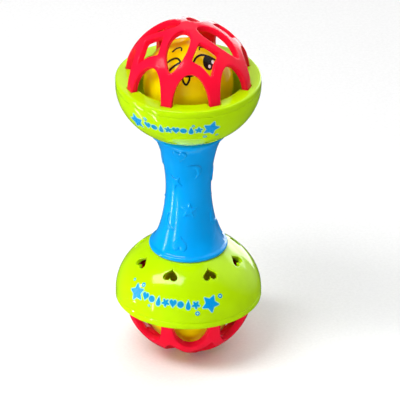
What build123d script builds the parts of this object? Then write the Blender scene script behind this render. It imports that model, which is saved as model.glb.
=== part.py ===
from build123d import *
from math import atan2, cos, hypot, pi, radians, sin, sqrt
import os

# Baby rattle shaped like a small dumbbell: a hollow handle with a bowl at each end. Every bowl
# is closed by an open cage that keeps a loose ball inside. Millimetres, +Z along the handle,
# the origin at the middle of the handle, and the printed face of the upper ball towards -Y.
# Everything of one head is modelled at the +Z end and mirrored for the other.

# ---- driving dimensions ----
LENGTH = 138.0
HEAD_RADIUS = 27.5

RIM_Z = 47.0               # top face of the rim ring
RING_THICKNESS = 2.7
SEAM_Z = RIM_Z - RING_THICKNESS
RING_INNER_RADIUS = 21.5
RING_EDGE_ROUND = 0.7
RING_SPIGOT_WALL = 0.9
SPIGOT_DEPTH = 1.5

BOWL_DEPTH = 22.1          # half height of the ellipsoid that the bowl is cut from
BOWL_WALL = 2.4
BOWL_SEAT_Z = 25.5         # where the bowl sits on the handle
BOWL_FLOOR_Z = 27.5
BOWL_LEDGE_RADIUS = 22.6
BOWL_LEDGE_HEIGHT = 1.4
REBATE_WALL = 1.5

CAGE_RADIUS = 24.6
CAGE_WALL = 2.5
CAGE_CROWN_WALL = 2.3
DOME_CENTRE_Z = 44.6       # the dome is a sphere, cut flat over a small circle at its crown
CAGE_FLANGE_OUTER = 24.8
CAGE_FLANGE_INNER = 22.2
PATTERN_CENTRE_Z = 46.2    # the windows and arches are seen from this point of the axis
LEG_COUNT = 8
LEG_AZIMUTH = 22.5         # first leg; the others follow every 45 degrees
LEG_NOTCH_WIDTH = 4.6      # cut in the rim ring for a leg
DROP_TILT = 33             # degrees from the apex to the middle of a window
DROP_TOP = (9.2, 0)        # points of the windows are (down, side) degrees from the apex
DROP_SHOULDER = (17.5, 8.6)
DROP_WIDEST = (30, 10.7)
DROP_WAIST = (46, 8.2)
DROP_TIP = (57.5, 0)
KITE_TILT = 43
KITE_CORNERS = ((25.8, 0), (41.6, 15.5), (50.1, 7.5), (62.7, 0))
KITE_CORNER_ROUND = 0.045  # this and the next two are tangents of angles at the pattern's centre
ARCH_HALF_WIDTH = 0.312
ARCH_HEIGHT = 0.645
CUTTER_START = 13.0        # the cutters of the dome begin inside its wall and end outside it
CUTTER_END = 36.0

HEART_RADIUS = 19.0        # distance of the heart holes from the axis
HEART_WIDTH = 5.4
HEART_HEIGHT = 5.2

BALL_RADIUS = 17.0
BALL_WALL = 1.5
BALL_GAP = 0.1             # between the resting ball and what it lies on
BALL_LAP = 1.0             # how far one half shell laps over the other
BEAD_RADIUS = 1.8
BEAD_GAP = 0.2

HANDLE_WALL = 1.6
WAIST_RADIUS = 8.6
MID_RADIUS, MID_Z = 9.45, 10
SHOULDER_RADIUS, SHOULDER_Z = 11.1, 17.5
LIP_RADIUS = 14.86
LIP_THICKNESS = 2.0

NECK_RADIUS = 8.0          # hollow spigot under each bowl
NECK_WALL = 1.6
NECK_FLANGE_RADIUS = 9.2
NECK_FLANGE_THICKNESS = 1.4
RIB_THICKNESS = 1.6        # rib in the handle that the neck flange snaps behind
RIB_TOP_Z = 19.9
RIB_REACH = 1.0            # how far the rib runs into the handle's wall past the flange
SLIDE_FIT = 0.15
KEY_WIDTH = 3.0

PIN_RADIUS = 1.0
PIN_LENGTH = 2.0
PIN_FIT = 0.05
BOSS_RADIUS = 1.8
PIN_X = 5.2
PIN_Z = 9.0

ANGLE_STEP = 360.0 / LEG_COUNT
DOME_SIDES = 4             # the pattern of the dome repeats four times


def revolved(face):
    """A face drawn in the XZ plane, turned about the Z axis."""
    return revolve(face, Axis.Z, 360)


def disc(radius, z_low, z_high):
    """A plain disc about the Z axis."""
    return Pos(0, 0, z_low) * Cylinder(radius, z_high - z_low, align=(Align.CENTER, Align.CENTER, Align.MIN))


def ring(inner, outer, z_low, z_high):
    """A plain ring about the Z axis."""
    return disc(outer, z_low, z_high) - disc(inner, z_low, z_high)


# ---- cage ----
def dome_direction(down, side):
    """Unit direction from the pattern's centre. Down and side are angles from the apex."""
    polar = radians(hypot(down, side))
    azimuth = atan2(side, down)
    return Vector(sin(polar) * cos(azimuth), sin(polar) * sin(azimuth), cos(polar))


def radial_cutter(outline, tilt, azimuth):
    """A cutter that spreads out from the pattern's centre, through the cage wall.
    The outline is drawn on a plane one unit away, tilted from the axis."""
    normal = dome_direction(tilt, 0)
    sections = []
    for distance in (CUTTER_START, CUTTER_END):
        plane = Plane(normal * distance, x_dir=(cos(radians(tilt)), 0, -sin(radians(tilt))), z_dir=normal)
        sections.append(plane * scale(outline, distance))
    return Rot(0, 0, azimuth) * loft(sections, ruled=True)


def window_point(down, side, tilt):
    """Where a direction of the dome pierces the drawing plane of a window."""
    ray = dome_direction(down, side)
    across = Vector(cos(radians(tilt)), 0, -sin(radians(tilt)))
    depth = ray.dot(dome_direction(tilt, 0))
    return (ray.dot(across) / depth, ray.Y / depth)


def drop_window():
    """Drop shaped window, round towards the apex and pointed towards the rim."""
    marks = (DROP_TOP, DROP_SHOULDER, DROP_WIDEST, DROP_WAIST, DROP_TIP)
    points = [window_point(down, side, DROP_TILT) for down, side in marks]
    half = Spline(*points, tangents=((0, 1), (0.55, -0.8)))
    outline = make_face(half + Line(points[-1], points[0]))
    outline += mirror(outline, Plane.XZ)
    return outline, DROP_TILT


def kite_window():
    """Kite shaped window with drawn-in lower edges."""
    right = [window_point(down, side, KITE_TILT) for down, side in KITE_CORNERS]
    left = [(x, -y) for x, y in right[2:0:-1]]
    outline = make_face(Polyline(*right, *left, close=True))
    return fillet(outline.vertices(), KITE_CORNER_ROUND), KITE_TILT


def arch_window():
    """Arch between two legs, from below the rim ring up to a half ellipse."""
    foot = (RING_THICKNESS + 2 * SPIGOT_DEPTH) / (CAGE_RADIUS - CAGE_WALL)
    arch = Ellipse(ARCH_HEIGHT, ARCH_HALF_WIDTH)
    arch &= Rectangle(1, 1, align=(Align.MAX, Align.CENTER))
    arch += Rectangle(foot, 2 * ARCH_HALF_WIDTH, align=(Align.MIN, Align.CENTER))
    return arch, 90


def make_cage():
    """Soft red cage: a domed lattice on eight legs, with a flange that the rim ring clamps."""
    inner_radius = CAGE_RADIUS - CAGE_WALL
    inner_z = LENGTH / 2 - CAGE_CROWN_WALL - inner_radius
    flange_z = SEAM_Z - SPIGOT_DEPTH
    dome = Pos(0, 0, DOME_CENTRE_Z) * Sphere(CAGE_RADIUS) & disc(CAGE_RADIUS, DOME_CENTRE_Z, LENGTH / 2)
    dome += disc(CAGE_RADIUS, flange_z, DOME_CENTRE_Z)
    dome -= Pos(0, 0, inner_z) * Sphere(inner_radius)
    dome -= disc(inner_radius, flange_z, inner_z)
    centred = Pos(0, 0, PATTERN_CENTRE_Z)
    for k in range(DOME_SIDES):
        turn = k * 360 / DOME_SIDES - 90
        for (outline, tilt), offset in ((drop_window(), -LEG_AZIMUTH), (kite_window(), LEG_AZIMUTH)):
            dome -= centred * radial_cutter(outline, tilt, turn + offset)
    for k in range(LEG_COUNT):
        outline, tilt = arch_window()
        dome -= centred * radial_cutter(outline, tilt, k * ANGLE_STEP)
    return dome + ring(CAGE_FLANGE_INNER, CAGE_FLANGE_OUTER, flange_z, SEAM_Z)


# ---- bowl and rim ring ----
def make_rim_ring():
    """Flat green ring over the cage flange, notched for the eight legs."""
    body = ring(RING_INNER_RADIUS, HEAD_RADIUS, SEAM_Z, RIM_Z)
    top = body.faces().sort_by(Axis.Z)[-1]
    body = fillet(top.edges().sort_by(SortBy.LENGTH)[-1], RING_EDGE_ROUND)
    spigot_outer = HEAD_RADIUS - REBATE_WALL - SLIDE_FIT
    body += ring(spigot_outer - RING_SPIGOT_WALL, spigot_outer, SEAM_Z - SPIGOT_DEPTH, SEAM_Z)
    notch = Box(CAGE_RADIUS + SLIDE_FIT, LEG_NOTCH_WIDTH, RING_THICKNESS,
                align=(Align.MIN, Align.CENTER, Align.MIN))
    for k in range(LEG_COUNT):
        body -= Rot(0, 0, LEG_AZIMUTH + k * ANGLE_STEP) * Pos(0, 0, SEAM_Z) * notch
    return body


def heart_face(width, height):
    """A heart with its tip towards -Y."""
    lobe = width / 4
    dip = height / 2 - lobe * 0.9
    right = Spline((0, dip), (lobe, height / 2), (width / 2, height / 2 - lobe * 1.15), (0, -height / 2),
                   tangents=((0.35, 1), (-0.75, -0.9)))
    half = make_face(right + Line((0, -height / 2), (0, dip)))
    return half + mirror(half, Plane.YZ)


def make_bowl():
    """Green bowl with heart holes, a ledge for the cage flange, and the neck that holds it."""
    outer = Ellipse(HEAD_RADIUS, BOWL_DEPTH)
    inner = Ellipse(HEAD_RADIUS - BOWL_WALL, BOWL_DEPTH - BOWL_WALL)
    below_rim = SEAM_Z - BOWL_SEAT_Z
    section = outer & Rectangle(HEAD_RADIUS, below_rim, align=(Align.MIN, Align.MAX))
    hollow = inner & Rectangle(HEAD_RADIUS, SEAM_Z - BOWL_FLOOR_Z, align=(Align.MIN, Align.MAX))
    wall_radius = HEAD_RADIUS - REBATE_WALL
    ledge_low = -SPIGOT_DEPTH - BOWL_LEDGE_HEIGHT
    ledge = Polygon((wall_radius, -SPIGOT_DEPTH), (BOWL_LEDGE_RADIUS, -SPIGOT_DEPTH),
                    (BOWL_LEDGE_RADIUS, ledge_low), (wall_radius, ledge_low - BOWL_LEDGE_HEIGHT), align=None)
    rebate = Rectangle(wall_radius, SPIGOT_DEPTH, align=(Align.MIN, Align.MAX))
    section = section - hollow + (ledge & outer) - rebate
    bowl = revolved(Plane.XZ * (Pos(0, SEAM_Z) * section))

    tangent = sqrt(1 - (HEART_RADIUS / HEAD_RADIUS) ** 2)
    normal = Vector(HEART_RADIUS / HEAD_RADIUS ** 2, 0, -tangent / BOWL_DEPTH).normalized()
    seat = Vector(HEART_RADIUS, 0, SEAM_Z - BOWL_DEPTH * tangent)
    cutter_length = 4 * BOWL_WALL
    heart_plane = Plane(seat - normal * cutter_length / 2, x_dir=(0, 1, 0), z_dir=normal)
    heart = extrude(heart_plane * heart_face(HEART_WIDTH, HEART_HEIGHT), cutter_length)
    for k in range(LEG_COUNT):
        bowl -= Rot(0, 0, LEG_AZIMUTH + k * ANGLE_STEP) * heart
    return bowl + make_neck()


def make_neck():
    """Hollow spigot under the bowl, with the flange and key that lock it in the handle."""
    flange_top = RIB_TOP_Z - RIB_THICKNESS - SLIDE_FIT
    flange_low = flange_top - NECK_FLANGE_THICKNESS
    bore = NECK_RADIUS - NECK_WALL
    neck = ring(bore, NECK_RADIUS, flange_low, BOWL_SEAT_Z)
    neck += ring(bore, NECK_FLANGE_RADIUS, flange_low, flange_top)
    key = Box(KEY_WIDTH, NECK_FLANGE_RADIUS - bore - NECK_WALL / 2, RIB_THICKNESS + SLIDE_FIT,
              align=(Align.CENTER, Align.MIN, Align.MIN))
    return neck + Pos(0, -NECK_FLANGE_RADIUS, flange_top) * key


# ---- ball ----
def make_ball_halves(centre_z):
    """Front and rear half shells; the rear one has a thin lip that the front one laps over."""
    inner_radius = BALL_RADIUS - BALL_WALL
    lap_radius = BALL_RADIUS - BALL_WALL / 2
    shell = Sphere(BALL_RADIUS) - Sphere(inner_radius)
    reach = 2 * BALL_RADIUS
    front_side = Box(reach, reach, reach, align=(Align.CENTER, Align.MAX, Align.CENTER))
    rear_side = Box(reach, reach, reach, align=(Align.CENTER, Align.MIN, Align.CENTER))
    lap = Rot(90, 0, 0) * Cylinder(lap_radius, BALL_LAP, align=(Align.CENTER, Align.CENTER, Align.MIN))
    lip = shell & lap
    front = (shell & front_side) - lap
    rear = (shell & rear_side) + lip
    place = Pos(0, 0, centre_z)
    return place * front, place * rear


def make_beads(centre_z):
    """Seven loose beads that lie at the bottom of the ball, as separate solids."""
    orbit = BALL_RADIUS - BALL_WALL - BEAD_GAP - BEAD_RADIUS
    tilt = 2 * atan2(BEAD_RADIUS + BEAD_GAP / 4, orbit)
    places = [(0, 0)] + [(tilt, k * pi / 3) for k in range(6)]
    beads = []
    for polar, azimuth in places:
        x = orbit * sin(polar) * cos(azimuth)
        y = orbit * sin(polar) * sin(azimuth)
        beads.append(Pos(x, y, centre_z - orbit * cos(polar)) * Sphere(BEAD_RADIUS))
    return Compound(children=beads)


# ---- handle ----
def handle_outline(inset):
    """Half section of the handle, moved inwards by the inset; the flares end in a rounded lip."""
    lip_z = BOWL_SEAT_Z - LIP_THICKNESS
    flare = LIP_RADIUS - LIP_THICKNESS / 2
    curve = [(WAIST_RADIUS, 0), (MID_RADIUS, MID_Z), (SHOULDER_RADIUS, SHOULDER_Z), (flare, lip_z)]
    upper = [(radius - inset, z) for radius, z in curve]
    lower = [(radius, -z) for radius, z in upper[:0:-1]]
    side = Spline(*lower, *upper)
    end = flare - inset
    if inset:
        top = Line((end, lip_z), (end, BOWL_SEAT_Z))
        bottom = Line((end, -BOWL_SEAT_Z), (end, -lip_z))
    else:
        top = ThreePointArc((end, lip_z), (LIP_RADIUS, lip_z + LIP_THICKNESS / 2), (end, BOWL_SEAT_Z))
        bottom = mirror(top, Plane.XZ)
    closing = Polyline((end, BOWL_SEAT_Z), (0, BOWL_SEAT_Z), (0, -BOWL_SEAT_Z), (end, -BOWL_SEAT_Z))
    return make_face(side + top + closing + bottom)


def make_handle_shells():
    """Front and rear shells of the hollow handle, with ribs behind which the necks snap."""
    solid = revolved(Plane.XZ * handle_outline(0))
    body = solid - revolved(Plane.XZ * handle_outline(HANDLE_WALL))
    rib = ring(NECK_RADIUS + SLIDE_FIT, NECK_FLANGE_RADIUS + RIB_REACH, RIB_TOP_Z - RIB_THICKNESS, RIB_TOP_Z)
    body += rib + mirror(rib, Plane.XY)
    reach = 2 * BOWL_SEAT_Z
    keyway = Box(KEY_WIDTH + 2 * SLIDE_FIT, NECK_FLANGE_RADIUS + SLIDE_FIT, RIB_THICKNESS,
                 align=(Align.CENTER, Align.MAX, Align.MIN))
    keyway = Pos(0, 0, RIB_TOP_Z - RIB_THICKNESS) * keyway
    body -= keyway + mirror(keyway, Plane.XY)

    boss = Rot(90, 0, 0) * Cylinder(BOSS_RADIUS, 2 * WAIST_RADIUS)
    pin = Rot(90, 0, 0) * Cylinder(PIN_RADIUS, PIN_LENGTH, align=(Align.CENTER, Align.CENTER, Align.MAX))
    socket = Rot(90, 0, 0) * Cylinder(PIN_RADIUS + PIN_FIT, PIN_LENGTH + SLIDE_FIT,
                                      align=(Align.CENTER, Align.CENTER, Align.MAX))
    spots = [Pos(x, 0, z) for x in (-PIN_X, PIN_X) for z in (-PIN_Z, PIN_Z)]
    for spot in spots:
        body += (spot * boss) & solid
    front = body & Box(reach, reach, 2 * reach, align=(Align.CENTER, Align.MAX, Align.CENTER))
    rear = body & Box(reach, reach, 2 * reach, align=(Align.CENTER, Align.MIN, Align.CENTER))
    for spot in spots:
        front += spot * pin
        rear -= spot * socket
    return front, rear


# ---- assembly ----
def make_nodes():
    """Every node by name, the upper head first."""
    nodes = {}
    head = {"cage": make_cage(), "rim_ring": make_rim_ring(), "bowl": make_bowl()}
    low_centre = BOWL_FLOOR_Z + BALL_RADIUS + BALL_GAP
    high_centre = LENGTH / 2 - CAGE_CROWN_WALL - BALL_RADIUS - BALL_GAP
    for level, centre_z in (("upper", low_centre), ("lower", -high_centre)):
        for name, shape in head.items():
            nodes[f"{level}_{name}"] = shape if level == "upper" else mirror(shape, Plane.XY)
        front, rear = make_ball_halves(centre_z)
        nodes[f"{level}_ball_front_shell"] = front
        nodes[f"{level}_ball_rear_shell"] = rear
        nodes[f"{level}_ball_beads"] = make_beads(centre_z)
    front, rear = make_handle_shells()
    nodes["handle_front_shell"] = front
    nodes["handle_rear_shell"] = rear
    return nodes


os.makedirs("parts", exist_ok=True)
for node_name, node_shape in make_nodes().items():
    export_step(node_shape, f"parts/{node_name}.step")
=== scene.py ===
import math

import bpy
import numpy as np
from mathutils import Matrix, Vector, geometry, kdtree


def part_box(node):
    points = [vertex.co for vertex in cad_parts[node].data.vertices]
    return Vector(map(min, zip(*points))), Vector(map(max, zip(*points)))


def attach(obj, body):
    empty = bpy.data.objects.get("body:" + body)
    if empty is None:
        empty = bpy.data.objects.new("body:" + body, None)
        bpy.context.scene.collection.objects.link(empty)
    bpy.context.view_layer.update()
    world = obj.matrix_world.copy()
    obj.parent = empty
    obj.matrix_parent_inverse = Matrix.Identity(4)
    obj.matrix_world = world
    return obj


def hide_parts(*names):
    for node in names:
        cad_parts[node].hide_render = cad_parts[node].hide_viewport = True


# A dumbbell rattle: blue handle, green bowls with rim rings, red cages and loose yellow balls.
# Lengths are millimetres until a mesh is made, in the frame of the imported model: +Z is along
# the handle and -Y is the front. Azimuths are counted from the front towards +X, in degrees.

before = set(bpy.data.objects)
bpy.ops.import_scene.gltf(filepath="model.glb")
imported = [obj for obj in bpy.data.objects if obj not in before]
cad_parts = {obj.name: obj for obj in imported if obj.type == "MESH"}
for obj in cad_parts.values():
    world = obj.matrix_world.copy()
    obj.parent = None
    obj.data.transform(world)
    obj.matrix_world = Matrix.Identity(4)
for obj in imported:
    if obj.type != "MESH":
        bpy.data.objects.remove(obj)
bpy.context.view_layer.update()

MM = 0.001
TURN = 2 * math.pi


def node_box(node):
    """A CAD node's lowest and highest corners in millimetres."""
    low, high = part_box(node)
    return np.array(low) / MM, np.array(high) / MM


# ---- sizes, read from the frame ----
TOP_Z = node_box("upper_cage")[1][2]
RIM_Z = node_box("upper_rim_ring")[1][2]
HEAD_RADIUS = node_box("upper_bowl")[1][0]
FLANGE_PROUD = 0.2         # how far the flange stands out past the dome
CROWN_CUT = 0.2            # how much of the dome the flat at its crown takes off
CAGE_RADIUS = node_box("upper_cage")[1][0] - FLANGE_PROUD
BALL_RADIUS = (node_box("upper_ball_front_shell")[1] - node_box("upper_ball_front_shell")[0])[0] / 2
LIP_RADIUS = node_box("handle_front_shell")[1][0]
SEAT_Z = node_box("handle_front_shell")[1][2]
SEAM_Z = node_box("upper_bowl")[1][2]
RING_INNER_RADIUS = 21.5
DOME_CENTRE_Z = TOP_Z + CROWN_CUT - CAGE_RADIUS
BOWL_DEPTH = 22.1


# ---- outlines ----
def circle(radius, count, centre=(0, 0)):
    """A circle as a closed loop of points."""
    turn = np.linspace(0, TURN, count, endpoint=False)
    return np.stack([centre[0] + radius * np.cos(turn), centre[1] + radius * np.sin(turn)], 1)


def resample(points, step, closed=True):
    """Points at equal steps along a loop or a line."""
    points = np.asarray(points, float)
    if closed:
        points = np.vstack([points, points[:1]])
    lengths = np.hypot(*np.diff(points, axis=0).T)
    along = np.concatenate([[0], np.cumsum(lengths)])
    count = max(3, int(round(along[-1] / step)))
    marks = np.linspace(0, along[-1], count + 1)
    if closed:
        marks = marks[:-1]
    return np.stack([np.interp(marks, along, points[:, i]) for i in (0, 1)], 1)


def rounded_polygon(corners, radii, steps=10):
    """A polygon whose corners are arcs of the given radii."""
    corners = np.asarray(corners, float)
    count = len(corners)
    points = []
    for i in range(count):
        here, before, after = corners[i], corners[i - 1], corners[(i + 1) % count]
        u = (before - here) / np.linalg.norm(before - here)
        v = (after - here) / np.linalg.norm(after - here)
        half = math.acos(np.clip(u @ v, -1, 1)) / 2
        radius = radii[i % len(radii)]
        reach = radius / math.tan(half)
        middle = (u + v) / np.linalg.norm(u + v) * radius / math.sin(half)
        first = math.atan2(*(u * reach - middle)[::-1])
        last = math.atan2(*(v * reach - middle)[::-1])
        sweep = (last - first + math.pi) % TURN - math.pi
        for k in range(steps + 1):
            angle = first + sweep * k / steps
            points.append(here + middle + radius * np.array([math.cos(angle), math.sin(angle)]))
    return np.array(points)


def heart_outline(width, height, count=96):
    """A heart about its own middle, with its tip towards -Y."""
    t = np.linspace(0, TURN, count, endpoint=False)
    x = np.sin(t) ** 3
    y = (13 * np.cos(t) - 5 * np.cos(2 * t) - 2 * np.cos(3 * t) - np.cos(4 * t)) / 14.5 + 0.17
    return np.stack([x * width / 2, y * height / 2], 1)


def star_outline(radius, inner=0.5, roundness=0.08):
    """A five-pointed star with soft corners, with a point towards +Y."""
    corners = []
    for k in range(10):
        reach = radius * (1 if k % 2 == 0 else inner)
        angle = math.pi / 2 + k * math.pi / 5
        corners.append((reach * math.cos(angle), reach * math.sin(angle)))
    return rounded_polygon(corners, [radius * roundness], 4)


def crescent_outline(radius, count=48):
    """A crescent that bulges towards +X."""
    outer = np.linspace(-0.6 * math.pi, 0.6 * math.pi, count)
    tip = np.array([math.cos(outer[0]), math.sin(outer[0])]) * radius
    shift = -0.62 * radius
    inner_radius = math.hypot(tip[0] - shift, tip[1])
    bend = math.atan2(abs(tip[1]), tip[0] - shift)
    inner = np.linspace(bend, -bend, count)[1:-1]
    arcs = [np.stack([radius * np.cos(outer), radius * np.sin(outer)], 1),
            np.stack([shift + inner_radius * np.cos(inner), inner_radius * np.sin(inner)], 1)]
    return np.vstack(arcs)


def turned(outline, degrees, move=(0, 0)):
    """An outline turned about its middle, then moved."""
    a = math.radians(degrees)
    matrix = np.array([[math.cos(a), -math.sin(a)], [math.sin(a), math.cos(a)]])
    return outline @ matrix.T + np.asarray(move, float)


# ---- meshes ----
def make_object(name, points, faces, smooth=True):
    """A mesh object from points in millimetres."""
    mesh = bpy.data.meshes.new(name)
    mesh.from_pydata((np.asarray(points) * MM).tolist(), [], faces)
    mesh.update()
    mesh.polygons.foreach_set("use_smooth", [smooth] * len(mesh.polygons))
    obj = bpy.data.objects.new(name, mesh)
    bpy.context.scene.collection.objects.link(obj)
    return obj


def signed_area(loop):
    """The area of a loop, positive where it runs counterclockwise."""
    ahead = np.roll(loop, -1, 0)
    return 0.5 * np.sum(loop[:, 0] * ahead[:, 1] - ahead[:, 0] * loop[:, 1])


def triangulate(loops, extra):
    """Triangles that fill the first loop outside the others. Returns points, triangles, edge mask."""
    coordinates, faces, start = [], [], 0
    for loop in loops:
        coordinates.extend(map(tuple, loop if signed_area(loop) > 0 else loop[::-1]))
        faces.append(list(range(start, start + len(loop))))
        start += len(loop)
    coordinates.extend(map(tuple, extra))
    found = geometry.delaunay_2d_cdt([Vector(c) for c in coordinates], [], faces, 0, 1e-7)
    points = np.array([tuple(v) for v in found[0]])
    on_edge = np.zeros(len(points), bool)
    for i, origins in enumerate(found[3]):
        on_edge[i] = any(o < start for o in origins)
    inside = [tri for tri, owners in zip(found[2], found[5]) if set(owners) == {0}]
    return points, inside, on_edge


def offset_loop(loop, place, distance, outward):
    """A loop moved sideways by a distance measured on the surface."""
    ahead, behind = np.roll(loop, -1, 0), np.roll(loop, 1, 0)
    along = ahead - behind
    along /= np.linalg.norm(along, axis=1)[:, None]
    side = np.stack([along[:, 1], -along[:, 0]], 1)
    if (signed_area(loop) < 0) == outward:
        side = -side
    tiny = 0.01
    stretch = np.linalg.norm(place(loop + side * tiny)[0] - place(loop)[0], axis=1) / tiny
    return loop + side * (distance / stretch)[:, None]


def rounded_shell(name, loops, place, spacing, rounds, relief=None, detail=None):
    """A closed shell between two surfaces, over a flat domain with holes and rounded edges.
    loops[0] is the domain's edge and the others are holes. place maps domain points to outer
    positions, inner positions and normals. rounds holds (outer, inner) edge radii, one pair a
    loop. relief raises the outer surface, and detail holds points that its edges need."""
    rounds = [rounds[min(i, len(rounds) - 1)] for i in range(len(loops))]
    dense = [place(resample(loop, 0.06))[0] for loop in loops]
    owner = np.concatenate([[i] * len(places) for i, places in enumerate(dense)])
    tree = kdtree.KDTree(len(owner))
    for i, spot in enumerate(np.vstack(dense)):
        tree.insert(spot, i)
    tree.balance()

    def edge_distance(points):
        hits = [tree.find(p)[1:] for p in place(points)[0]]
        return np.array([h[1] for h in hits]), owner[[h[0] for h in hits]]

    extra = []
    for i, loop in enumerate(loops):
        for angle in np.radians([25, 45, 65, 90]):
            distance = rounds[i][0] * (1 - math.cos(angle))
            ring = offset_loop(loop, place, distance, outward=i > 0)
            extra.append(ring[edge_distance(ring)[0] > 0.9 * distance])
    low, high = loops[0].min(0), loops[0].max(0)
    rows = np.arange(low[1], high[1], spacing * 0.866)
    columns = np.arange(low[0], high[0], spacing)
    grid = np.array([(x + (k % 2) * spacing / 2, y) for k, y in enumerate(rows) for x in columns])
    gap, near = edge_distance(grid)
    grid = grid[gap > np.array([r[0] for r in rounds])[near] + 0.45 * spacing]
    if detail is not None:
        extra.append(detail)
        grid = away_from(grid, detail, 0.4 * spacing)
    points, triangles, on_edge = triangulate(loops, np.vstack(extra + [grid]))

    outer, inner, normal = place(points)
    distance, near = edge_distance(points)
    distance[on_edge] = 0
    outer_round, inner_round = np.array(rounds)[near].T

    def drop(radius):
        reach = np.clip(radius - distance, 0, radius)
        return radius - np.sqrt(np.maximum(radius ** 2 - reach ** 2, 0))

    lift = relief(points) if relief is not None else 0
    outer = outer + normal * (lift - drop(outer_round))[:, None]
    inner = inner + normal * drop(inner_round)[:, None]

    used = sorted({i for tri in triangles for i in tri})
    new = {old: k for k, old in enumerate(used)}
    count = len(used)
    faces, border = [], {}
    for tri in triangles:
        a, b, c = (new[i] for i in tri)
        faces.append((a, b, c))
        faces.append((count + c, count + b, count + a))
        for edge in ((a, b), (b, c), (c, a)):
            if edge[::-1] in border:
                del border[edge[::-1]]
            else:
                border[edge] = True
    faces += [(b, a, count + a, count + b) for a, b in border]
    corners = np.vstack([outer[used], inner[used]])
    a, b, c = corners[list(faces[0])]
    if np.cross(b - a, c - a) @ normal[used[faces[0][0]]] < 0:
        faces = [face[::-1] for face in faces]
    return make_object(name, corners, faces)


def away_from(points, others, least):
    """The points that keep a least distance from all the others."""
    tree = kdtree.KDTree(len(others))
    for i, (x, y) in enumerate(others):
        tree.insert((x, y, 0), i)
    tree.balance()
    gap = np.array([tree.find((x, y, 0))[2] for x, y in points])
    return points[gap > least]


def join(name, objects):
    """Several objects as one."""
    points, faces, start = [], [], 0
    for obj in objects:
        points += [v.co / MM for v in obj.data.vertices]
        faces += [[start + i for i in face.vertices] for face in obj.data.polygons]
        start += len(obj.data.vertices)
        bpy.data.objects.remove(obj)
    return make_object(name, points, faces)


def flip(level):
    """+1 for the upper head and -1 for the lower one, which mirrors it."""
    return 1 if level == "upper" else -1


def polar_frame(points):
    """Distance from the domain's middle, and the unit direction."""
    reach = np.hypot(points[:, 0], points[:, 1])
    return reach, points / np.maximum(reach, 1e-9)[:, None]


def stacked(direction, radius, z, level):
    """Points at a radius and height along directions about the Z axis."""
    return np.column_stack([direction * radius[:, None], z * flip(level)])


# ---- cages ----
CAGE_WALL = 2.5
FLANGE_INNER, FLANGE_OUTER = 22.2, 24.8
FLANGE_TOP, FLANGE_LOW = 0.05, 1.45    # depths of the flange below the seam
CROWN_WALL = 2.3
QUARTER_ARC = CAGE_RADIUS * math.pi / 2
LEG_AZIMUTH = 22.5
PATTERN_CENTRE_Z = 46.2
ARCH_HALF_WIDTH = 0.312
ARCH_HEIGHT = 0.645
WINDOW_ROUNDS = [(0.45, 0.35)]


def cage_place(level):
    """The dome, unrolled from its apex: a circle of the domain is a level circle of the dome."""
    inner_radius = CAGE_RADIUS - CAGE_WALL
    inner_centre = TOP_Z - CROWN_WALL - inner_radius

    def place(points):
        reach, direction = polar_frame(points)
        angle = np.minimum(reach, QUARTER_ARC) / CAGE_RADIUS
        below = np.maximum(reach - QUARTER_ARC, 0)
        z = DOME_CENTRE_Z + CAGE_RADIUS * np.cos(angle) - below
        outer = stacked(direction, CAGE_RADIUS * np.sin(angle), np.minimum(z, TOP_Z), level)
        z = inner_centre + inner_radius * np.cos(angle) - below
        inner = stacked(direction, inner_radius * np.sin(angle), z, level)
        normal = stacked(direction, np.sin(angle), np.cos(angle), level)
        return outer, inner, normal
    return place


def on_dome(ray):
    """Where rays from the pattern's centre on the axis pierce the dome, in the unrolled domain."""
    ray = ray / np.linalg.norm(ray, axis=1)[:, None]
    offset = PATTERN_CENTRE_Z - DOME_CENTRE_Z
    along = -offset * ray[:, 2] + np.sqrt(CAGE_RADIUS ** 2 - offset ** 2 * (1 - ray[:, 2] ** 2))
    spot = ray * along[:, None]
    radius = np.hypot(spot[:, 0], spot[:, 1])
    height = spot[:, 2] + offset
    unrolled = np.where(height > 0, CAGE_RADIUS * np.arctan2(radius, np.maximum(height, 0)),
                        QUARTER_ARC - height)
    return spot[:, :2] / radius[:, None] * unrolled[:, None]


def dome_window(outline, azimuth):
    """An outline of (down, side) angles from the apex, turned to an azimuth from the front."""
    polar = np.radians(np.hypot(outline[:, 0], outline[:, 1]))
    turn = np.arctan2(outline[:, 1], outline[:, 0]) + math.radians(azimuth)
    ray = np.column_stack([np.sin(polar) * np.sin(turn), -np.sin(polar) * np.cos(turn), np.cos(polar)])
    return resample(on_dome(ray), 0.3)


def drop_outline():
    """Drop window: half an ellipse towards the apex and a narrowing tip towards the rim."""
    middle, crown, tip, width = 30.0, 20.8, 27.5, 10.7
    upper = np.linspace(-math.pi / 2, 0, 24, endpoint=False)
    lower = np.linspace(0, math.pi / 2, 24, endpoint=False)
    down = np.concatenate([middle + crown * np.sin(upper), middle + tip * np.sin(lower)])
    side = width * np.concatenate([np.cos(upper), np.cos(lower) ** 1.36])
    half = np.column_stack([down, side])
    end = np.array([[middle + tip, 0]])
    return np.vstack([half, end, half[:0:-1] * (1, -1)])


def kite_outline():
    """Kite window with drawn-in lower edges."""
    right = [(25.8, 0), (41.6, 15.5), (50.1, 7.5), (62.7, 0)]
    left = [(down, -side) for down, side in right[2:0:-1]]
    return rounded_polygon(right + left, [2.6, 2.2, 6.0, 1.6, 6.0, 2.2])


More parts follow.
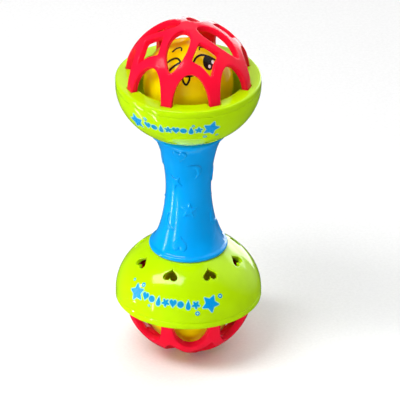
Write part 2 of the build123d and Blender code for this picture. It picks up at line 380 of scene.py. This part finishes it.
def arch_line(azimuth):
    """One arch, from the foot of a leg over to the foot of the next."""
    foot = (PATTERN_CENTRE_Z - SEAM_Z + 0.3) / CAGE_RADIUS
    turn = np.linspace(0, math.pi, 60)
    u = ARCH_HALF_WIDTH * np.concatenate([[1], np.cos(turn), [-1]])
    v = np.concatenate([[-foot], ARCH_HEIGHT * np.sin(turn), [-foot]])
    a = math.radians(azimuth)
    front = np.array([math.sin(a), -math.cos(a), 0])
    right = np.array([math.cos(a), math.sin(a), 0])
    ray = front + u[:, None] * right + v[:, None] * np.array([0, 0, 1])
    return resample(on_dome(ray), 0.3, closed=False)


def lathe(name, profile, count=160):
    """A closed profile of (radius, z) points, turned about the Z axis."""
    turn = np.linspace(0, TURN, count, endpoint=False)
    points = [(r * math.sin(t), -r * math.cos(t), z) for t in turn for r, z in profile]
    size = len(profile)
    faces = []
    for k in range(count):
        here, there = k * size, (k + 1) % count * size
        for i in range(size):
            j = (i + 1) % size
            faces.append((here + i, there + i, there + j, here + j))
    return make_object(name, points, faces)


def finish_piece(piece, material, body, nodes=()):
    """Material and body of a piece, and the CAD nodes that it stands for."""
    piece.data.materials.append(material)
    if nodes:
        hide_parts(*nodes)
    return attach(piece, body)


def make_cage(level, material):
    """The red cage: lattice dome on eight legs, and the flange under the rim ring."""
    loops = [np.vstack([arch_line(k * 45)[::-1] for k in range(8)])]
    for k in range(4):
        loops.append(dome_window(drop_outline(), -LEG_AZIMUTH + k * 90))
        loops.append(dome_window(kite_outline(), LEG_AZIMUTH + k * 90))
    lattice = rounded_shell(f"{level}_lattice", loops, cage_place(level), 0.8, WINDOW_ROUNDS)
    top, low = (SEAM_Z - FLANGE_TOP) * flip(level), (SEAM_Z - FLANGE_LOW) * flip(level)
    section = [(FLANGE_INNER, low), (FLANGE_OUTER, low), (FLANGE_OUTER, top), (FLANGE_INNER, top)]
    flange = lathe(f"{level}_flange", section)
    cage = join(f"{level}_cage_moulding", [lattice, flange])
    return finish_piece(cage, material, "frame", [f"{level}_cage"])


# ---- bowls and rim rings ----
BOWL_WALL = 2.4
BOWL_FLOOR_Z = 27.5
HEART_WIDTH, HEART_HEIGHT = 5.4, 5.0
HEART_Z = 28.4
NOTCH_HALF_WIDTH = 2.3
NOTCH_CLEARANCE = 0.04     # between a leg of the cage and the notch it stands in
SEAT_ANGLE = math.acos((SEAM_Z - SEAT_Z) / BOWL_DEPTH)
SEAT_RADIUS = HEAD_RADIUS * math.sin(SEAT_ANGLE)
BOWL_ANGLES = np.linspace(SEAT_ANGLE, math.pi / 2, 400)
BOWL_STEPS = np.hypot(np.diff(HEAD_RADIUS * np.sin(BOWL_ANGLES)), np.diff(BOWL_DEPTH * np.cos(BOWL_ANGLES)))
BOWL_REACH = SEAT_RADIUS + np.concatenate([[0], np.cumsum(BOWL_STEPS)])


def bowl_place(level, lift=None):
    """The bowl, unrolled from the middle of its floor. With a lift, a film on its outside."""
    inner_radius, inner_depth = HEAD_RADIUS - BOWL_WALL, BOWL_DEPTH - BOWL_WALL
    floor_angle = math.acos((SEAM_Z - BOWL_FLOOR_Z) / inner_depth)

    def place(points):
        reach, direction = polar_frame(points)
        angle = np.interp(reach, BOWL_REACH, BOWL_ANGLES)
        floor = np.minimum(reach / SEAT_RADIUS, 1)
        outer = stacked(direction, HEAD_RADIUS * np.sin(angle) * floor,
                        SEAM_Z - BOWL_DEPTH * np.cos(angle), level)
        across, down = BOWL_DEPTH * np.sin(angle), -HEAD_RADIUS * np.cos(angle)
        across, down = np.where(floor < 1, 0, across), np.where(floor < 1, -1, down)
        size = np.hypot(across, down)
        normal = stacked(direction, across / size, down / size, level)
        if lift is not None:
            return outer + normal * lift[1], outer + normal * lift[0], normal
        angle = np.interp(angle, [SEAT_ANGLE, math.pi / 2], [floor_angle, math.pi / 2])
        inner = stacked(direction, inner_radius * np.sin(angle) * floor,
                        SEAM_Z - inner_depth * np.cos(angle), level)
        return outer, inner, normal
    return place


def on_bowl(outline, azimuth, z):
    """An outline of (right, up) millimetres, laid on the unrolled bowl about a point.
    Up runs towards the rim."""
    reach = np.interp(math.acos((SEAM_Z - z) / BOWL_DEPTH), BOWL_ANGLES, BOWL_REACH)
    radius = HEAD_RADIUS * math.sqrt(1 - ((SEAM_Z - z) / BOWL_DEPTH) ** 2)
    turn = math.radians(azimuth) + outline[:, 0] / radius
    reach = reach + outline[:, 1]
    return np.column_stack([reach * np.sin(turn), -reach * np.cos(turn)])


def make_bowl(level, material):
    """The green bowl with its ring of heart holes, whose tips point to the handle."""
    heart = resample(heart_outline(HEART_WIDTH, HEART_HEIGHT), 0.2)
    loops = [circle(BOWL_REACH[-1], 260)]
    for k in range(8):
        loops.append(on_bowl(heart, LEG_AZIMUTH + k * 45, HEART_Z))
    rounds = [(0.12, 0.25), (0.25, 1.5)]
    bowl = rounded_shell(f"{level}_bowl_moulding", loops, bowl_place(level), 0.9, rounds)
    return finish_piece(bowl, material, "frame", [f"{level}_bowl"])


def ring_place(level):
    """The rim ring between its top face and the seam."""
    def place(points):
        count = len(points)
        outer = np.column_stack([points, np.full(count, RIM_Z * flip(level))])
        inner = np.column_stack([points, np.full(count, (SEAM_Z + 0.02) * flip(level))])
        normal = np.tile([0, 0, float(flip(level))], (count, 1))
        return outer, inner, normal
    return place


def make_rim_ring(level, material):
    """The flat green ring, notched where the legs of the cage come up."""
    notch_radius, half_width = CAGE_RADIUS + NOTCH_CLEARANCE, NOTCH_HALF_WIDTH
    inner_edge = []
    for k in range(8):
        middle = math.radians(LEG_AZIMUTH + k * 45)
        along = np.array([math.sin(middle), -math.cos(middle)])
        side = np.array([math.cos(middle), math.sin(middle)])
        mouth = math.sqrt(RING_INNER_RADIUS ** 2 - half_width ** 2)
        for reach, offset in ((mouth, -1), (notch_radius, -1), (notch_radius, 1), (mouth, 1)):
            inner_edge.append(along * reach + side * offset * half_width)
        gap = math.asin(half_width / RING_INNER_RADIUS)
        for turn in np.linspace(middle + gap, middle + math.pi / 4 - gap, 12)[1:-1]:
            inner_edge.append(RING_INNER_RADIUS * np.array([math.sin(turn), -math.cos(turn)]))
    loops = [circle(HEAD_RADIUS, 300), resample(np.array(inner_edge), 0.25)]
    rounds = [(0.7, 0.1), (0.18, 0.2)]
    ring = rounded_shell(f"{level}_rim_ring_moulding", loops, ring_place(level), 0.8, rounds)
    return finish_piece(ring, material, "frame", [f"{level}_rim_ring"])


# ---- balls ----
BALL_WALL = 1.5


def ball_place(level, side, lift=None):
    """Half a ball, unrolled from the middle of its front (side 1) or rear (side -1)."""
    low, high = node_box(f"{level}_ball_front_shell")
    centre = np.array([0, 0, (low[2] + high[2]) / 2])

    def place(points):
        reach, direction = polar_frame(points)
        angle = reach / BALL_RADIUS
        normal = np.column_stack([direction[:, 0] * np.sin(angle), -side * np.cos(angle),
                                  direction[:, 1] * np.sin(angle)])
        outer, inner = BALL_RADIUS, BALL_RADIUS - BALL_WALL
        if lift is not None:
            outer, inner = BALL_RADIUS + lift[1], BALL_RADIUS + lift[0]
        return centre + normal * outer, centre + normal * inner, normal
    return place


def make_ball(level, material):
    """The two half shells of a ball, with a fine parting line between them."""
    edge = circle(BALL_RADIUS * math.pi / 2, 240)
    for side, word in ((1, "front"), (-1, "rear")):
        place = ball_place(level, side)
        shell = rounded_shell(f"{level}_ball_{word}_half", [edge], place, 1.0, [(0.08, 0.05)])
        finish_piece(shell, material, f"{level}_ball", [f"{level}_ball_{word}_shell"])


# ---- handle ----
HANDLE_WALL = 1.6
LIP_THICKNESS = 2.0
FLARE_RADIUS = LIP_RADIUS - LIP_THICKNESS / 2
WAIST_KNOTS = [(0, 8.6), (10, 9.45), (17.5, 11.1)]      # (height, radius)


def smooth_through(knots, x):
    """A smooth even curve through (x, y) knots: a polynomial in x squared."""
    xs, ys = np.array(knots, float).T
    powers = 2 * np.arange(len(xs))
    weights = np.linalg.solve((xs[:, None] / xs.max()) ** powers, ys)
    return ((np.abs(x)[:, None] / xs.max()) ** powers) @ weights


def handle_profile():
    """Radius and height along the outside of the handle, from its middle to the end of a lip."""
    lip_z = SEAT_Z - LIP_THICKNESS
    z = np.linspace(0, lip_z, 300)
    radius = smooth_through(WAIST_KNOTS + [(lip_z, FLARE_RADIUS)], z)
    turn = np.linspace(-math.pi / 2, math.pi / 2, 40)[1:]
    bead_radius = FLARE_RADIUS + LIP_THICKNESS / 2 * np.cos(turn)
    bead_z = lip_z + LIP_THICKNESS / 2 * (1 + np.sin(turn))
    return np.concatenate([radius, bead_radius]), np.concatenate([z, bead_z])


PROFILE_RADIUS, PROFILE_Z = handle_profile()
PROFILE_ALONG = np.concatenate([[0], np.cumsum(np.hypot(np.diff(PROFILE_RADIUS), np.diff(PROFILE_Z)))])
WAIST_RADIUS = PROFILE_RADIUS[0]


def handle_place(side):
    """Half the handle, unrolled: across is azimuth times the waist's radius, up is the profile."""
    lip_z = SEAT_Z - LIP_THICKNESS
    slope_radius = np.gradient(PROFILE_RADIUS, PROFILE_ALONG)
    slope_z = np.gradient(PROFILE_Z, PROFILE_ALONG)

    def place(points):
        turn = points[:, 0] / WAIST_RADIUS + (0 if side == 1 else math.pi)
        direction = np.column_stack([np.sin(turn), -np.cos(turn)])
        along, sign = np.abs(points[:, 1]), np.sign(points[:, 1])
        radius = np.interp(along, PROFILE_ALONG, PROFILE_RADIUS)
        z = np.interp(along, PROFILE_ALONG, PROFILE_Z)
        outer = np.column_stack([direction * radius[:, None], z * sign])
        hollow = np.interp(np.minimum(z, lip_z), PROFILE_Z, PROFILE_RADIUS) - HANDLE_WALL
        inner = np.column_stack([direction * hollow[:, None], z * sign])
        out = np.interp(along, PROFILE_ALONG, slope_z)
        up = -np.interp(along, PROFILE_ALONG, slope_radius) * sign
        size = np.hypot(out, up)
        normal = np.column_stack([direction * (out / size)[:, None], up / size])
        return outer, inner, normal
    return place


RELIEF_HEIGHT = 0.4
RELIEF_SLOPE = 0.28        # width of the sloping side of an ornament
ORNAMENT_AZIMUTH = -18.5
ORNAMENT_REPEATS = 3


def handle_marks(side):
    """The raised hearts, moons and stars, as outlines on one unrolled half of the handle.
    They come in pairs about a point of the waist, and repeat three times round the handle."""
    kinds = [
        (heart_outline(5.6, 6.4), 0, 18.6),
        (turned(crescent_outline(3.6), 30), 26, 11.3),
        (turned(star_outline(3.7, 0.42, 0.04), 32), -18, 5.9),
    ]
    marks = []
    for outline, sideways, height in kinds:
        along = np.interp(height, PROFILE_Z, PROFILE_ALONG)
        radius = np.interp(height, PROFILE_Z, PROFILE_RADIUS)
        for sign in (1, -1):
            for k in range(ORNAMENT_REPEATS):
                azimuth = ORNAMENT_AZIMUTH + sideways * sign + k * 360 / ORNAMENT_REPEATS
                azimuth += 0 if side == 1 else 180
                azimuth = math.radians((azimuth + 180) % 360 - 180)
                across = (azimuth + outline[:, 0] * sign / radius) * WAIST_RADIUS
                marks.append(np.column_stack([across, (along + outline[:, 1]) * sign]))
    return [mark for mark in marks if abs(mark[:, 0].mean()) < 2.2 * WAIST_RADIUS]


def depth_inside(points, outline):
    """How deep points lie inside an outline; negative outside."""
    ahead = np.roll(outline, -1, 0)
    rise = ahead[:, 1] - outline[:, 1]
    rise = np.where(rise == 0, 1e-9, rise)
    x, y = points[:, :1], points[:, 1:]
    spans = (outline[:, 1] > y) != (ahead[:, 1] > y)
    crossing = outline[:, 0] + (y - outline[:, 1]) * (ahead[:, 0] - outline[:, 0]) / rise
    inside = np.sum(spans & (x < crossing), axis=1) % 2 == 1
    gap = np.min(np.hypot(x - outline[:, 0], y - outline[:, 1]), axis=1)
    return np.where(inside, gap, -gap)


def relief_of(marks):
    """A function that gives how far the marks stand out at points of the unrolled handle."""
    marks = [resample(mark, 0.05) for mark in marks]

    def relief(points):
        lift = np.zeros(len(points))
        for mark in marks:
            near = np.all((points > mark.min(0)) & (points < mark.max(0)), axis=1)
            if near.any():
                depth = np.clip(depth_inside(points[near], mark) / RELIEF_SLOPE, 0, 1)
                lift[near] = np.maximum(lift[near], RELIEF_HEIGHT * depth * depth * (3 - 2 * depth))
        return lift
    return relief


def relief_detail(marks, limit):
    """Points along the sides of the marks, so that the mesh follows them."""
    rings = []
    for mark in marks:
        line, fine = resample(mark, 0.22), resample(mark, 0.05)
        along = np.roll(line, -1, 0) - np.roll(line, 1, 0)
        side = np.column_stack([-along[:, 1], along[:, 0]]) / np.linalg.norm(along, axis=1)[:, None]
        for offset in (-0.12, 0, 0.09, 0.19, 0.28):
            for way in (1, -1):
                ring = line + side * offset * way
                depth = depth_inside(ring, fine)
                rings.append(ring[np.abs(depth - offset) < 0.03])
    points = np.unique(np.round(np.vstack(rings), 3), axis=0)
    return points[np.abs(points[:, 0]) < limit]


def make_handle(material):
    """The two shells of the handle, with raised ornaments and a fine parting line."""
    half_width, reach = WAIST_RADIUS * math.pi / 2, PROFILE_ALONG[-1]
    corners = np.array([(-1, -1), (1, -1), (1, 1), (-1, 1)]) * (half_width, reach)
    for side, word in ((1, "front"), (-1, "rear")):
        marks = handle_marks(side)
        shell = rounded_shell(f"handle_{word}_half", [resample(corners, 0.3)], handle_place(side), 0.6,
                              [(0.1, 0.05)], relief_of(marks), relief_detail(marks, half_width - 0.3))
        finish_piece(shell, material, "frame", [f"handle_{word}_shell"])


# ---- prints ----
# How far the two sides of a film lie off the surface it is printed on.
GROUND_LIFT = (-0.03, 0.03)
INK_LIFT = (-0.02, 0.06)
TOP_LIFT = (-0.01, 0.09)


def film(name, outlines, place):
    """Ink or its ground: one thin closed film for each outline, as one object.
    A pair of outlines is a ring."""
    films = []
    for k, outline in enumerate(outlines):
        loops = [resample(loop, 0.12) for loop in (outline if isinstance(outline, tuple) else (outline,))]
        films.append(rounded_shell(f"{name}_{k}", loops, place, 0.6, [(0.015, 0.015)]))
    return join(name, films)


def widened(outline, margin):
    """An outline moved outwards by a margin."""
    line = resample(outline, 0.1)
    along = np.roll(line, -1, 0) - np.roll(line, 1, 0)
    side = np.column_stack([along[:, 1], -along[:, 0]]) / np.linalg.norm(along, axis=1)[:, None]
    moved = line + side * margin * math.copysign(1, signed_area(line))
    return moved[depth_inside(moved, line) < -0.95 * margin]


def flower_outline(radius, petals=5, depth=0.24):
    """A flower with round petals."""
    turn = np.linspace(0, TURN, 90, endpoint=False)
    reach = radius * (1 - depth + depth * np.cos(petals * turn))
    return np.column_stack([reach * np.sin(turn), reach * np.cos(turn)])


def drop_shape(width, height):
    """A drop with its point towards +Y."""
    turn = np.linspace(0, TURN, 72, endpoint=False)
    x = width / 2 * np.sin(turn) * np.sin(turn / 2) ** 1.5
    return np.column_stack([x, height / 2 * np.cos(turn)])


def print_shapes(level):
    """The ornament on a bowl: two stars with a row of small shapes between them, and bubbles.
    Gives stars, row and bubbles, each a list of (outline, azimuth, height)."""
    up = flip(level)
    if level == "upper":
        base, slope, ends, row_ends, tilts = 38.5, 0.012, (-49.1, 16.5), (-37.4, 6.2), (16, -18)
        spots = [(-38.8, 41.1, 0.85), (1.7, 41.0, 0.6), (12.2, 34.8, 0.85), (23.1, 34.8, 0.6)]
    else:
        base, slope, ends, row_ends, tilts = 36.9, 0.009, (-50.9, 16.4), (-41.0, 4.0), (-20, 32)
        spots = [(26.1, 35.3, 0.95), (5.0, 40.2, 0.95), (-47.0, 33.4, 0.95), (-59.7, 33.4, 0.65),
                 (-35.9, 39.3, 0.55)]

    def height(azimuth):
        return base + slope * (azimuth + 16)

    big_star = star_outline(3.65, 0.52, 0.06) * up
    stars = [(turned(big_star, tilt), a, height(a)) for tilt, a in zip(tilts, ends)]
    small = [
        heart_outline(2.8, 3.2) * up,
        circle(1.25, 40),
        drop_shape(2.5, 3.8) * up,
        flower_outline(1.6),
    ]
    row = []
    for k, azimuth in enumerate(np.linspace(*row_ends, 8)):
        row.append((small[k % 4], azimuth, height(azimuth)))
    bubbles = [(circle(radius, 30), azimuth, z) for azimuth, z, radius in spots]
    return stars, row, bubbles


def make_bowl_print(level, star_ink, row_ink, ground):
    """The printed ornament on the front of a bowl: pale grounds, and ink over them."""
    stars, row, bubbles = print_shapes(level)
    ground_place, ink_place = bowl_place(level, GROUND_LIFT), bowl_place(level, INK_LIFT)

    def laid(shapes, margin=0.0):
        return [on_bowl(widened(outline, margin) if margin else outline, azimuth, z)
                for outline, azimuth, z in shapes]

    below = film(f"{level}_print_ground", laid(stars + row, 0.28) + laid(bubbles), ground_place)
    finish_piece(below, ground, "frame")
    ink = film(f"{level}_star_ink", laid(stars), ink_place)
    finish_piece(ink, star_ink, "frame")
    rings = []
    for outline, azimuth, z in bubbles:
        rings.append(tuple(on_bowl(outline * size, azimuth, z) for size in (0.9, 0.45)))
    ink = film(f"{level}_row_ink", laid(row) + rings, ink_place)
    finish_piece(ink, row_ink, "frame")


# ---- face ----
def on_ball(points):
    """(azimuth, elevation) degrees about the ball's middle, as points of its unrolled front."""
    azimuth, elevation = np.radians(np.asarray(points, float)).T
    x, z = np.sin(azimuth) * np.cos(elevation), np.sin(elevation)
    angle = np.arccos(np.cos(azimuth) * np.cos(elevation))
    return np.column_stack([x, z]) * (angle * BALL_RADIUS / np.hypot(x, z))[:, None]


def smooth_line(points, steps=14):
    """A smooth line through points (Catmull-Rom)."""
    points = np.vstack([2 * points[0] - points[1], points, 2 * points[-1] - points[-2]])
    line = []
    for a, b, c, d in zip(points, points[1:], points[2:], points[3:]):
        for t in np.linspace(0, 1, steps, endpoint=False):
            line.append(0.5 * (2 * b + (c - a) * t + (2 * a - 5 * b + 4 * c - d) * t ** 2
                               + (3 * b - a - 3 * c + d) * t ** 3))
    return np.vstack([line, points[-2]])


def stroke(points, width):
    """The outline of a drawn line with round ends, over (azimuth, elevation) points."""
    line = resample(smooth_line(on_ball(points)), 0.15, closed=False)
    along = np.gradient(line, axis=0)
    side = np.column_stack([-along[:, 1], along[:, 0]]) / np.linalg.norm(along, axis=1)[:, None]
    side *= width / 2
    caps = []
    for end, out in ((-1, side[-1]), (0, -side[0])):
        for turn in np.linspace(0, math.pi, 7)[1:-1]:
            ahead = np.array([out[1], -out[0]])
            caps.append(line[end] + out * math.cos(turn) + ahead * math.sin(turn))
    half = len(caps) // 2
    return np.vstack([line + side, caps[:half], (line - side)[::-1], caps[half:]])


def blob(azimuth, elevation, width, height):
    """An oval on the ball, in millimetres, about an (azimuth, elevation) point."""
    return circle(1, 60) * (width / 2, height / 2) + on_ball([(azimuth, elevation)])


def make_face(ink, white):
    """A plain winking smiley, printed on the front of the upper ball."""
    lines = [
        stroke([(-49, 47), (-43, 54), (-34, 58.5), (-26, 58), (-19, 54.5)], 0.9),
        stroke([(-19, 54.5), (-27, 50), (-33, 44.5), (-36, 39.5)], 0.9),
        stroke([(-57, 65), (-58, 71), (-50, 75.5), (-38, 75.5), (-32, 72)], 0.75),
        stroke([(10, 56), (20, 61.5), (38, 62.5), (52, 56), (60, 47)], 0.95),
        stroke([(46, 71), (58, 73.5), (70, 70)], 0.75),
        stroke([(-22, 41), (-12, 37.5), (-4, 36.5), (6, 38), (14, 42)], 0.8),
        stroke([(-11.5, 37.5), (-10, 30.5), (-5.5, 26.0), (-1.5, 30.5), (0, 36.5)], 0.8),
        blob(41, 50, 5.2, 6.6),
    ]
    place = ball_place("upper", 1, INK_LIFT)
    finish_piece(film("face_ink", lines, place), ink, "upper_ball")
    glints = [blob(38.5, 44.5, 1.3, 1.5), blob(50.5, 47.5, 1.5, 1.7)]
    place = ball_place("upper", 1, TOP_LIFT)
    finish_piece(film("face_glints", glints, place), white, "upper_ball")


# ---- materials ----
def node_graph(name):
    """A new material with its nodes, its links and its main shader."""
    material = bpy.data.materials.new(name)
    material.use_nodes = True
    nodes, links = material.node_tree.nodes, material.node_tree.links
    return material, nodes, links, nodes["Principled BSDF"]


def noise_field(nodes, links, coordinates, scale, detail=2.0):
    """Smooth noise over the object, in the given number of waves a metre."""
    noise = nodes.new("ShaderNodeTexNoise")
    noise.inputs["Scale"].default_value = scale
    noise.inputs["Detail"].default_value = detail
    links.new(coordinates, noise.inputs["Vector"])
    return noise.outputs["Fac"]


def ramp(nodes, links, value, low, high, start=0.35, end=0.65):
    """Colours from low to high as a value goes from start to end."""
    colours = nodes.new("ShaderNodeValToRGB")
    colours.color_ramp.elements[0].position = start
    colours.color_ramp.elements[1].position = end
    colours.color_ramp.elements[0].color = (*low, 1)
    colours.color_ramp.elements[1].color = (*high, 1)
    links.new(value, colours.inputs["Fac"])
    return colours.outputs["Color"]


def spread(nodes, links, value, low, high):
    """A value's middle range, mapped from low to high."""
    remap = nodes.new("ShaderNodeMapRange")
    remap.inputs["From Min"].default_value = 0.3
    remap.inputs["From Max"].default_value = 0.7
    remap.inputs["To Min"].default_value = low
    remap.inputs["To Max"].default_value = high
    links.new(value, remap.inputs["Value"])
    return remap.outputs["Result"]


def moulded_plastic(name, colour, gloss=(0.07, 0.12), soft=0.0, shine=0.35, waves=0.00012, grain=0.00001):
    """Injection moulded plastic: pigment that varies a little, faint flow waves and a fine skin.
    Gloss is the range of roughness, shine the specular level, and soft the share of light that
    scatters inside."""
    material, nodes, links, shader = node_graph(name)
    coordinates = nodes.new("ShaderNodeTexCoord").outputs["Object"]
    pigment = noise_field(nodes, links, coordinates, 70, 3)
    deep = tuple(c * 0.93 for c in colour)
    light = tuple(min(c * 1.04, 1) for c in colour)
    links.new(ramp(nodes, links, pigment, deep, light), shader.inputs["Base Color"])
    smears = noise_field(nodes, links, coordinates, 260, 4)
    links.new(spread(nodes, links, smears, *gloss), shader.inputs["Roughness"])

    flow = nodes.new("ShaderNodeBump")
    flow.inputs["Strength"].default_value = 1.0
    flow.inputs["Distance"].default_value = waves
    links.new(noise_field(nodes, links, coordinates, 90, 1), flow.inputs["Height"])
    skin = nodes.new("ShaderNodeBump")
    skin.inputs["Strength"].default_value = 0.6
    skin.inputs["Distance"].default_value = grain
    links.new(noise_field(nodes, links, coordinates, 2600, 2), skin.inputs["Height"])
    links.new(flow.outputs["Normal"], skin.inputs["Normal"])
    links.new(skin.outputs["Normal"], shader.inputs["Normal"])
    shader.inputs["IOR"].default_value = 1.49
    shader.inputs["Specular IOR Level"].default_value = shine
    if soft:
        shader.inputs["Subsurface Weight"].default_value = soft
        shader.inputs["Subsurface Radius"].default_value = tuple(0.35 + c for c in colour)
        shader.inputs["Subsurface Scale"].default_value = 0.0015
    return material


def printed_ink(name, colour, pale):
    """Pad printing ink, a little uneven, with a satin surface."""
    material, nodes, links, shader = node_graph(name)
    coordinates = nodes.new("ShaderNodeTexCoord").outputs["Object"]
    mottle = noise_field(nodes, links, coordinates, 1500, 4)
    links.new(ramp(nodes, links, mottle, pale, colour, 0.2, 0.5), shader.inputs["Base Color"])
    links.new(spread(nodes, links, mottle, 0.22, 0.34), shader.inputs["Roughness"])
    skin = nodes.new("ShaderNodeBump")
    skin.inputs["Distance"].default_value = 0.00001
    links.new(mottle, skin.inputs["Height"])
    links.new(skin.outputs["Normal"], shader.inputs["Normal"])
    shader.inputs["Specular IOR Level"].default_value = 0.2
    return material


def paper_floor():
    """A pale seamless paper floor."""
    material, nodes, links, shader = node_graph("floor_paper")
    coordinates = nodes.new("ShaderNodeTexCoord").outputs["Object"]
    fibre = noise_field(nodes, links, coordinates, 900, 3)
    links.new(ramp(nodes, links, fibre, (0.86, 0.86, 0.86), (0.9, 0.9, 0.9)), shader.inputs["Base Color"])
    shader.inputs["Roughness"].default_value = 0.9
    return material


RED = moulded_plastic("soft_red_plastic", (0.92, 0.006, 0.035), (0.13, 0.2), 0.15, 0.13)
GREEN = moulded_plastic("lime_green_plastic", (0.45, 0.74, 0.0))
BLUE = moulded_plastic("sky_blue_plastic", (0.0, 0.33, 0.84))
YELLOW = moulded_plastic("yellow_plastic", (0.99, 0.79, 0.0), (0.12, 0.2), 0.1)
BEADS = moulded_plastic("bead_plastic", (0.86, 0.86, 0.82), (0.25, 0.35))
STAR_INK = printed_ink("blue_star_ink", (0.0, 0.27, 0.68), (0.0, 0.36, 0.7))
ROW_INK = printed_ink("teal_row_ink", (0.0, 0.25, 0.55), (0.0, 0.35, 0.5))
PALE_INK = printed_ink("pale_ground_ink", (0.3, 0.68, 0.5), (0.32, 0.7, 0.3))
BLACK_INK = printed_ink("black_face_ink", (0.006, 0.006, 0.006), (0.012, 0.01, 0.008))
WHITE_INK = printed_ink("white_face_ink", (0.88, 0.88, 0.84), (0.8, 0.8, 0.74))


# ---- camera, lights and floor ----
def direction(azimuth, elevation):
    """Unit vector towards an azimuth from the front and an elevation above the floor."""
    a, e = math.radians(azimuth), math.radians(elevation)
    return Vector((math.sin(a) * math.cos(e), -math.cos(a) * math.cos(e), math.sin(e)))


def add_camera(azimuth, elevation, distance, view_width, right_mm, up_mm):
    """The camera, which looks past the object's middle by some millimetres right and up."""
    back = direction(azimuth, elevation)
    right = direction(azimuth + 90, 0)
    aim = (right * right_mm + back.cross(right) * up_mm) * MM
    data = bpy.data.cameras.new("camera")
    data.sensor_width = 36
    data.lens = data.sensor_width * distance / view_width
    camera = bpy.data.objects.new("camera", data)
    camera.location = aim + back * distance
    camera.rotation_euler = (-back).to_track_quat("-Z", "Y").to_euler()
    bpy.context.scene.collection.objects.link(camera)
    bpy.context.scene.camera = camera


def add_light(name, place, size, power, reflects=True, lights=True, roll=0):
    """A soft box that faces the object, at (azimuth, elevation, distance in metres).
    It can be one that only lights the object, or one that is only reflected in it."""
    azimuth, elevation, distance = place
    data = bpy.data.lights.new(name, "AREA")
    data.shape = "RECTANGLE"
    data.size, data.size_y = size
    data.energy = power
    light = bpy.data.objects.new(name, data)
    back = direction(azimuth, elevation)
    light.location = back * distance
    light.rotation_euler = (-back).to_track_quat("-Z", "Y").to_euler()
    light.rotation_euler.rotate_axis("Z", math.radians(roll))
    light.visible_camera = False
    light.visible_glossy = reflects
    light.visible_diffuse = lights
    bpy.context.scene.collection.objects.link(light)
    return light


def add_streak(name, azimuth, distance, low, high, power):
    """A thin upright strip light beside the handle, between two heights in millimetres."""
    light = add_light(name, (azimuth, 0, distance), (0.003, (high - low) * MM), power)
    light.location.z = (low + high) / 2 * MM
    return light


def add_world():
    """A studio that is dark except behind the object to the right, where a wall is lit."""
    world = bpy.data.worlds.new("studio")
    bpy.context.scene.world = world
    world.use_nodes = True
    nodes, links = world.node_tree.nodes, world.node_tree.links
    coordinates = nodes.new("ShaderNodeTexCoord").outputs["Generated"]
    towards = nodes.new("ShaderNodeVectorMath")
    towards.operation = "DOT_PRODUCT"
    towards.inputs[1].default_value = direction(135, 35)
    links.new(coordinates, towards.inputs[0])
    wall = nodes.new("ShaderNodeMapRange")
    wall.inputs["From Min"].default_value = 0.55
    wall.inputs["From Max"].default_value = 0.9
    wall.inputs["To Min"].default_value = 0.07
    wall.inputs["To Max"].default_value = 1.1
    links.new(towards.outputs["Value"], wall.inputs["Value"])
    links.new(wall.outputs["Result"], nodes["Background"].inputs["Strength"])
    nodes["Background"].inputs["Color"].default_value = (1, 1, 1, 1)


def add_floor():
    """The floor, a large sheet that lies under the lower cage."""
    half, level = 3000.0, -TOP_Z
    corners = [(-half, -half, level), (half, -half, level), (half, half, level), (-half, half, level)]
    floor = make_object("floor", corners, [(0, 1, 2, 3)], smooth=False)
    floor.data.materials.append(paper_floor())
    floor.visible_glossy = False


# ---- the scene ----
for level in ("upper", "lower"):
    make_cage(level, RED)
    make_bowl(level, GREEN)
    make_rim_ring(level, GREEN)
    make_ball(level, YELLOW)
    make_bowl_print(level, STAR_INK, ROW_INK, PALE_INK)
    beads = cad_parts[f"{level}_ball_beads"]
    beads.data.materials.clear()
    beads.data.materials.append(BEADS)
make_handle(BLUE)
make_face(BLACK_INK, WHITE_INK)

add_camera(-2.3, 29.8, 6.5, 0.1506, 4.37, -5.5)
add_world()
add_light("key_box", (-60, 55, 0.75), (0.62, 0.2), 4.2, roll=35)
add_light("top_box", (-10, 84, 1.0), (1.6, 1.6), 7.5, reflects=False)
add_light("front_fill", (-25, 12, 1.2), (1.0, 0.8), 4.8, reflects=False)
add_light("back_box", (140, 22, 0.8), (0.5, 0.4), 1.6, lights=False)
add_light("rear_box", (162, 4, 0.8), (0.6, 0.5), 3.4, lights=False)
add_streak("left_streak", -84, 0.115, -64, 8, 0.03)
add_streak("front_streak", -54, 0.13, -64, -4, 0.02)
add_floor()
bpy.context.scene.view_settings.view_transform = "Standard"
